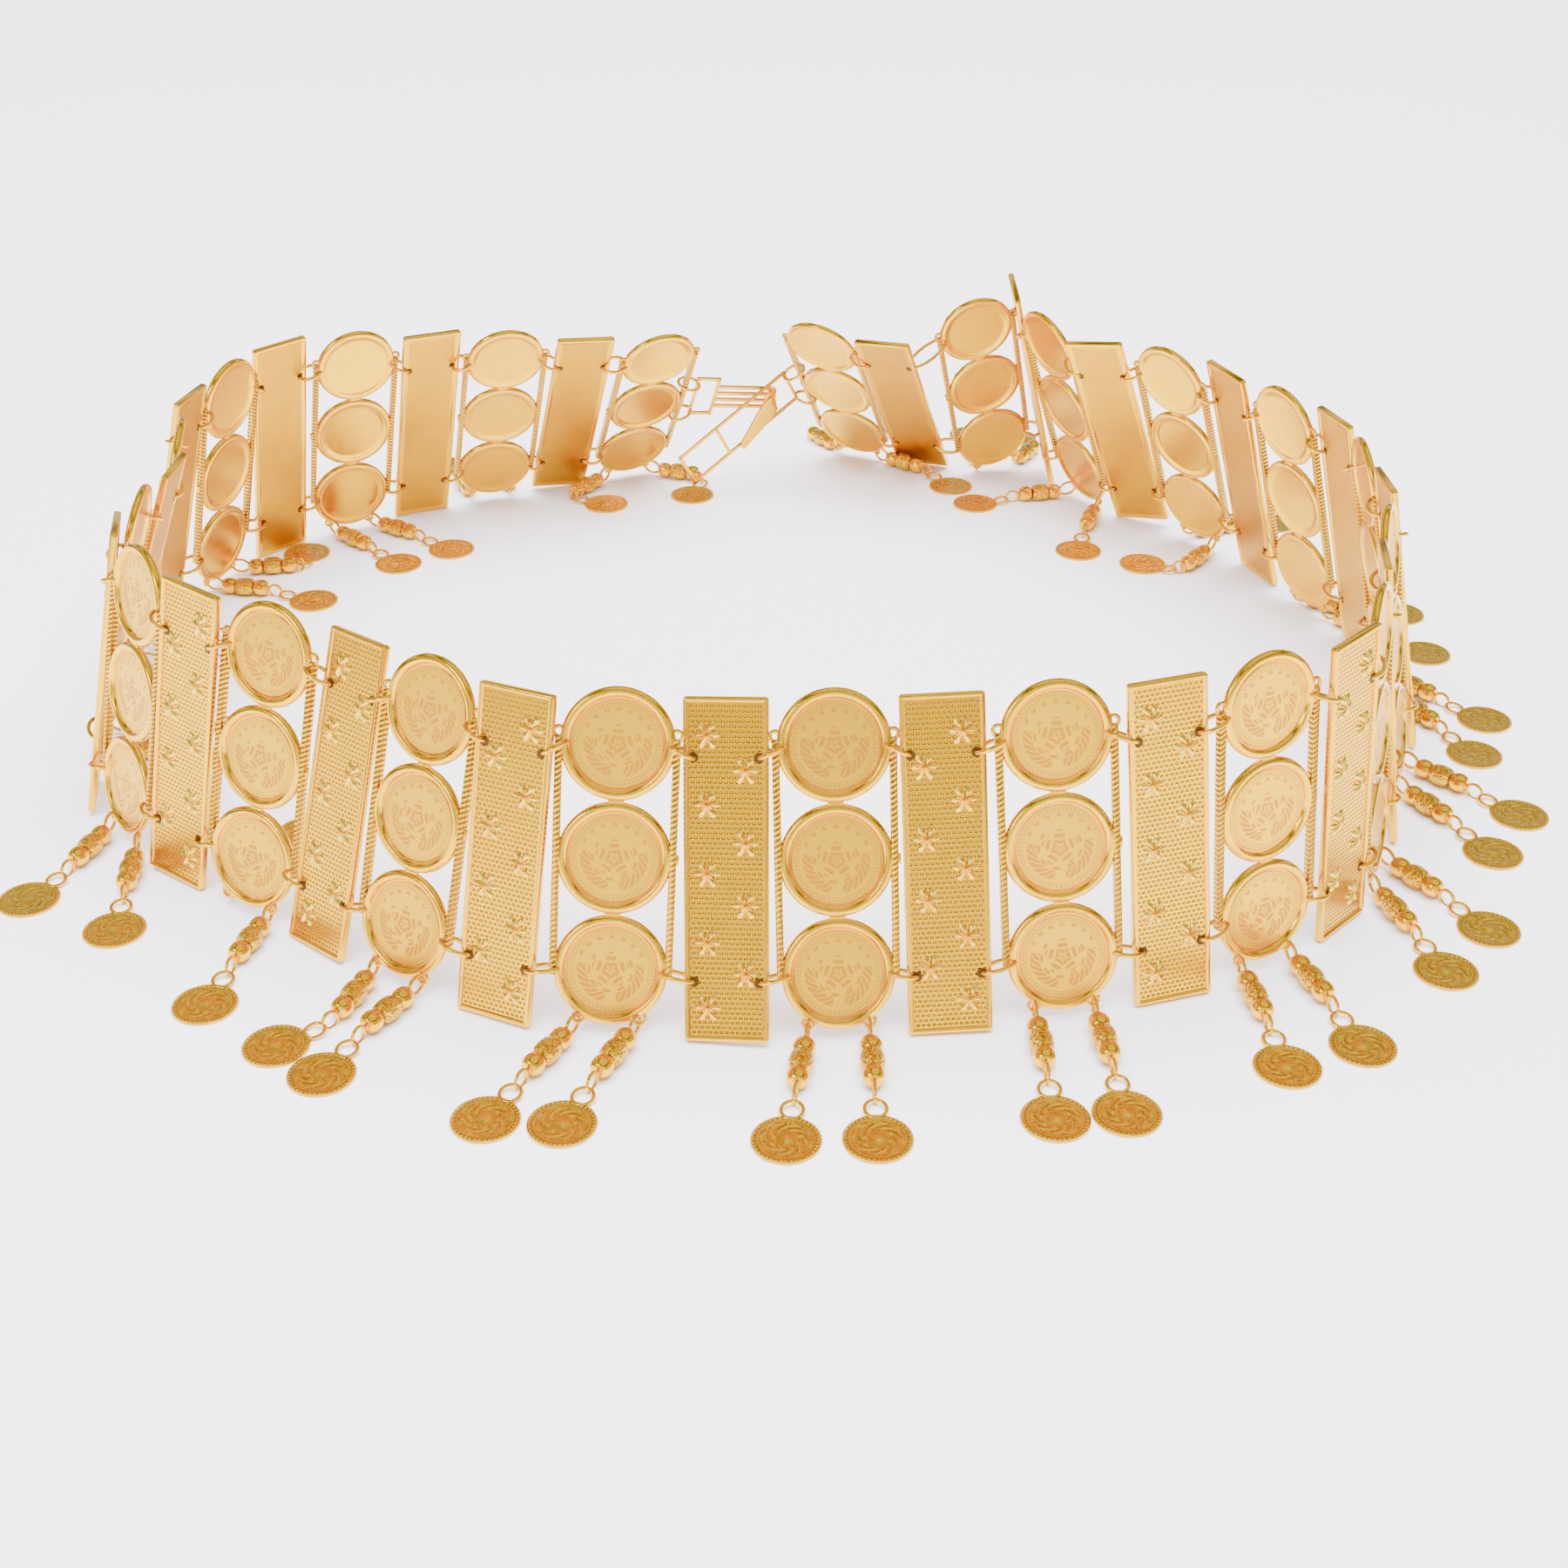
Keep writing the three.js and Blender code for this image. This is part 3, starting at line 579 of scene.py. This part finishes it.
def tasselParts(pose, side, swing):
    level = unit(pose["basis"][0] * np.array([1, 1, 0]))
    outLevel = np.array([-level[1], level[0], 0])
    beadWay, coinWay = [level * np.sin(t) + outLevel * np.cos(t) for t in np.radians(swing)]
    drop = np.sqrt(coinSize["radius"] ** 2 - tasselLook["lugAt"] ** 2) - tasselLook["lugIn"]
    lug = placed(pose, [side * tasselLook["lugAt"], 0, -coinSize["pitch"] - drop])
    rise = np.array([0, 0, 1.0])

    def run(distance, z):
        return (lug + beadWay * distance) * np.array([1, 1, 0]) + rise * z

    lie = tasselLook["lie"]
    eye = placed(pose, [side * tasselLook["lugAt"], 0, -coinSize["pitch"] - drop - 0.9])
    wire = tasselLook["wire"]
    eyeSize, ringHigh = tasselLook["eye"], tasselLook["ringHigh"]
    made = [ringPart(eye, pose["basis"][0] * eyeSize, pose["basis"][2] * eyeSize, wire, steps=20, sides=8)]
    first = run(tasselLook["ringAt"], lie)
    upward = unit(np.cross(first - eye, np.cross(rise, beadWay)))
    made.append(ringPart((first + eye) / 2, (first - eye) / 2, upward * ringHigh, wire, steps=24, sides=8))
    pinProfile = [(0, tasselLook["pin"]), (tasselLook["pinLong"], tasselLook["pin"])]
    made.append(strungPart(run(tasselLook["pinAt"], lie), beadWay, pinProfile, "polished", 10))
    upper, lower = tasselLook["beadsAt"]
    for distance, profile, finish in ((upper, beadProfile, "polished"),
                                      (tasselLook["barrelAt"], barrelProfile, "hammered"),
                                      (lower, beadProfile, "polished")):
        made.append(strungPart(run(distance, lie), beadWay, profile, finish, 24))
    turn = run(tasselLook["run"], 0)
    loose = [run(tasselLook["looseAt"], lie - 0.3),
             turn + coinWay * 2.2 + rise * 1.2, turn + coinWay * 6.1 + rise * 0.45]
    across = np.array([-coinWay[1], coinWay[0], 0])
    made.append(ringPart((loose[0] + loose[1]) / 2, (loose[1] - loose[0]) / 2,
                         unit(np.cross(loose[1] - loose[0], across)) * ringHigh, wire, steps=24, sides=8))
    made.append(ringPart((loose[1] + loose[2]) / 2, (loose[2] - loose[1]) / 2 * 1.1, across * 2.2,
                         wire, steps=24, sides=8))
    centre = turn + coinWay * (tasselLook["link"] + tasselLook["coin"])
    t = np.linspace(0, 2 * np.pi, 120, endpoint=False)[None]
    radii = np.array([0.3, 6.6, 6.85, 6.9, 6.8, 6.3, 5.8, 5.4, 2.4, 0.05])[:, None]
    heights = np.array([0.02, 0.02, 0.12, 0.3, 0.56, 0.66, 0.56, 0.46, 0.46, 0.46])[:, None]
    edge = np.where(radii > 6.0, 0.13 * np.abs(np.cos(20 * t)), 0)
    radius = radii + edge - 0.1 * (radii > 6.5)
    local = np.stack([radius * np.sin(t), heights + 0 * t, radius * np.cos(t)], -1)
    points = centre + coinWay * local[..., 2:] + across * local[..., :1] + rise * local[..., 1:2]
    made.append(gridPart(points, "charm", local=local, caps=("start", "end")))
    return made


counts = {"plate": 0, "coins": 0}
for i, (kind, pose) in enumerate(links):
    counts[kind] += 1
    name = f"{kind}_{counts[kind]:02d}"
    if kind == "coins":
        swing = swings[counts["coins"] - 1]
        parts = [moved(p, pose) for p in columnBase]
        parts += tasselParts(pose, -1, swing[:2]) + tasselParts(pose, 1, swing[2:])
        makePiece(name, parts)
        continue
    flowers = fiveSide[1 if counts["plate"] % 2 else -1]
    parts = [moved(p, pose) for p in plateBase + flowers]
    for side in (-1, 1):
        neighbour = links[i + side][1]
        for hole, far in zip(plateHoles(pose, side), columnHoles(neighbour, -side)):
            parts.append(linkRing(hole, pose["basis"][1], far, neighbour["basis"][1]))
    makePiece(name, parts)
print("plates and columns", counts)

# Clasp: ladder strip with two windows, and a hook of a frame, four tines, a bend and a flat tongue
ladderLook = {"free": (-31, 615, 8), "held": (2.3, 634, 30), "up": (-0.39, -0.3, 0.87), "half": 6.0,
              "rail": 1.1, "depth": 0.4, "step": 14.8, "ringsAt": 4.6}
hookLook = {"bend": (-4, 630, 25.9), "way": (0.9, 0.41, -0.17), "up": (0.28, -0.21, 0.94), "frame": 8.2,
            "half": 7.0, "bar": 1.1, "tines": 18.7, "spread": 8.2, "tine": 1.1, "depth": 0.45, "behind": 2.0,
            "ringsAt": 5.0}
tongueLook = {"back": 16.5, "down": 5.6, "front": 1.35, "half": 2.9, "tip": 1.1}
barHold = {"in": 9.9, "up": 8.3}


def heldRings(pose, points, neighbour, side):
    made = []
    for k, point in enumerate(points):
        behindBar = placed(neighbour, [side * barHold["in"], 0, (1 - 2 * k) * barHold["up"]])
        made.append(linkRing(placed(pose, point), pose["basis"][1], behindBar, neighbour["basis"][1]))
    return made


free, held = np.array(ladderLook["free"], float), np.array(ladderLook["held"], float)
ladderPose = poseOf((free + held) / 2, held - free, ladderLook["up"])
length = np.linalg.norm(held - free) / 2
h, d, rail = ladderLook["half"], ladderLook["depth"], ladderLook["rail"]
ladder = [beamPart([-length, -d, low], [length, d, low + rail]) for low in (-h, h - rail)]
for x in (-length, ladderLook["step"] - length, length - rail):
    ladder.append(beamPart([x, -d, -h], [x + rail, d, h]))
ladder = [moved(p, ladderPose) for p in ladder]
heldAt = [[length - rail / 2, 0, s * ladderLook["ringsAt"]] for s in (1, -1)]
ladder += heldRings(ladderPose, heldAt, links[0][1], -1)
makePiece("clasp_ladder", ladder)

hookPose = poseOf(hookLook["bend"], hookLook["way"], hookLook["up"])
hookPose["centre"] = hookPose["centre"] + hookPose["basis"][1] * hookLook["behind"]
end, d, w = -hookLook["tines"], hookLook["depth"], hookLook["bar"]
outer = end - hookLook["frame"]
hookParts = [beamPart([x, -d, -hookLook["half"]], [x + w, d, hookLook["half"]]) for x in (outer, end - w)]
hookParts += [beamPart([outer, -d, z], [end, d, z + w]) for z in (-hookLook["half"], hookLook["half"] - w)]
tineGap = (hookLook["spread"] - hookLook["tine"]) / 3
for k in range(4):
    z = k * tineGap - hookLook["spread"] / 2
    hookParts.append(beamPart([end - w / 2, -d, z], [-1, d, z + hookLook["tine"]]))
hookParts = [moved(p, hookPose) for p in hookParts]
heldAt = [[outer + w / 2, 0, s * hookLook["ringsAt"]] for s in (1, -1)]
hookParts += heldRings(hookPose, heldAt, links[-1][1], 1)

# The bend and tongue: a flat strip that eases from one section to the next
through = hookPose["centre"] - hookPose["basis"][1] * hookLook["behind"]
alongHook, outHook, upHook = hookPose["basis"]
alongLadder, outLadder, upLadder = ladderPose["basis"]
level = -alongLadder * tongueLook["back"] - upLadder * tongueLook["down"]
across = -np.cross(unit(level), outLadder)
tall, wide = upHook * hookLook["spread"] / 2, across * tongueLook["half"]
root = through - outLadder * tongueLook["front"]
front = -outLadder
sections = [
    (through - alongHook * 1.6 + outHook * 2.0, tall, outHook),
    (through + alongHook * 0.2 + outHook * 1.7, tall, unit(outHook + alongHook)),
    (through + alongHook * 1.1 + outHook * 0.5, tall * 0.8 + wide * 0.2, alongHook),
    (root, tall * 0.3 + wide * 0.7, unit(alongHook + front)),
    (root + level * 0.3, wide, front),
    (root + level, wide * tongueLook["tip"] / tongueLook["half"], front),
]
keys = [np.array([s[k] for s in sections]) for k in range(3)]
steps = np.linspace(0, len(sections) - 1, 41)
base = np.clip(steps.astype(int), 0, len(sections) - 2)
ease = (steps - base)[:, None]
eased = []
for key in keys:
    p0, p1 = key[np.maximum(base - 1, 0)], key[base]
    p2, p3 = key[base + 1], key[np.minimum(base + 2, len(sections) - 1)]
    eased.append(0.5 * (2 * p1 + (p2 - p0) * ease + (2 * p0 - 5 * p1 + 4 * p2 - p3) * ease ** 2
                        + (3 * p1 - p0 - 3 * p2 + p3) * ease ** 3))
outline = roundedLoop(1.0, 1.0, 0.35, 4)
strip = (eased[0][:, None] + eased[1][:, None] * outline[None, :, :1]
         + unit(eased[2])[:, None] * outline[None, :, 1:] * hookLook["depth"])
hookParts.append(gridPart(strip, "polished", caps=("start", "end")))
makePiece("clasp_hook", hookParts)
print("clasp")

# Floor: pale lavender white sweep with the faintest mottling
floorMesh = bpy.data.meshes.new("floor")
floorMesh.from_pydata([(-3, -3, 0), (3, -3, 0), (3, 3, 0), (-3, 3, 0)], [], [(0, 1, 2, 3)])
floor = bpy.data.objects.new("floor", floorMesh)
bpy.context.scene.collection.objects.link(floor)
paper = Finish("lavender_paper", Roughness=0.65)
spot = paper.node("ShaderNodeTexCoord")
mottle = paper.noise(Field(paper.tree, spot.outputs["Object"]), 3.0, 2.0)
paper.colour(mottle, (0.87, 0.86, 0.97), (0.90, 0.89, 1.0))
floorMesh.materials.append(paper.material)

# Light: a bright pale room with slanting darker bands, and soft boxes above and in front
roomLight = {"dim": (0.10, 0.09, 0.10, 1), "bright": (1.0, 0.98, 1.0, 1), "strength": 1.35}
world = bpy.context.scene.world or bpy.data.worlds.new("room")
bpy.context.scene.world = world
world.use_nodes = True
tree = world.node_tree
direction = addNode(tree, "ShaderNodeTexCoord")
apart = addNode(tree, "ShaderNodeSeparateXYZ", None, {0: Field(tree, direction.outputs["Generated"])})
height = Field(tree, apart.outputs["Z"])
across = Field(tree, apart.outputs["X"])
amount = (0.55 + (height * 15.0 + across * 4.0).sin() * 0.75).least(0.0).top(1.0)
mixed = addNode(tree, "ShaderNodeMix", {"data_type": "RGBA"},
                {"Factor": amount, 6: roomLight["dim"], 7: roomLight["bright"]})
tree.links.new(mixed.outputs[2], tree.nodes["Background"].inputs["Color"])
tree.nodes["Background"].inputs["Strength"].default_value = roomLight["strength"]


def softBox(name, place, target, size, power, shiny):
    lamp = bpy.data.lights.new(name, "AREA")
    lamp.shape, lamp.size, lamp.size_y, lamp.energy = "RECTANGLE", size[0], size[1], power
    lamp.color = (1.0, 0.99, 0.97)
    box = bpy.data.objects.new(name, lamp)
    back = unit(np.array(place, float) - np.array(target, float))
    side = unit(np.cross([0, 1.0, 0.01], back))
    rise = np.cross(back, side)
    box.matrix_world = Matrix([(side[k], rise[k], back[k], place[k]) for k in range(3)] + [(0, 0, 0, 1)])
    box.visible_glossy = shiny
    bpy.context.scene.collection.objects.link(box)


# Name, place, target, size, power, and whether the metal mirrors it
softBox("overhead", (0.0, 0.1, 2.2), (0, 0, 0), (3.0, 3.0), 330, False)
softBox("front_left", (-0.9, -0.9, 0.8), (0, 0, 0.03), (0.5, 0.5), 6, True)
softBox("behind_camera", (0.0, -1.8, 0.6), (0, 0, 0.03), (2.6, 1.3), 7.5, True)

# Camera: the photo's place and lens
cameraLook = {"lens": 47.5, "sensor": 36, "height": 0.2606, "tilt": 59.08}
lens = bpy.data.cameras.new("photo")
lens.lens, lens.sensor_width, lens.clip_start = cameraLook["lens"], cameraLook["sensor"], 0.01
camera = bpy.data.objects.new("photo", lens)
camera.location = (-bandMiddle[0] / 1000, -bandMiddle[1] / 1000, cameraLook["height"])
camera.rotation_euler = (np.radians(cameraLook["tilt"]), 0, 0)
bpy.context.scene.collection.objects.link(camera)
bpy.context.scene.camera = camera
print("floor, light and camera")
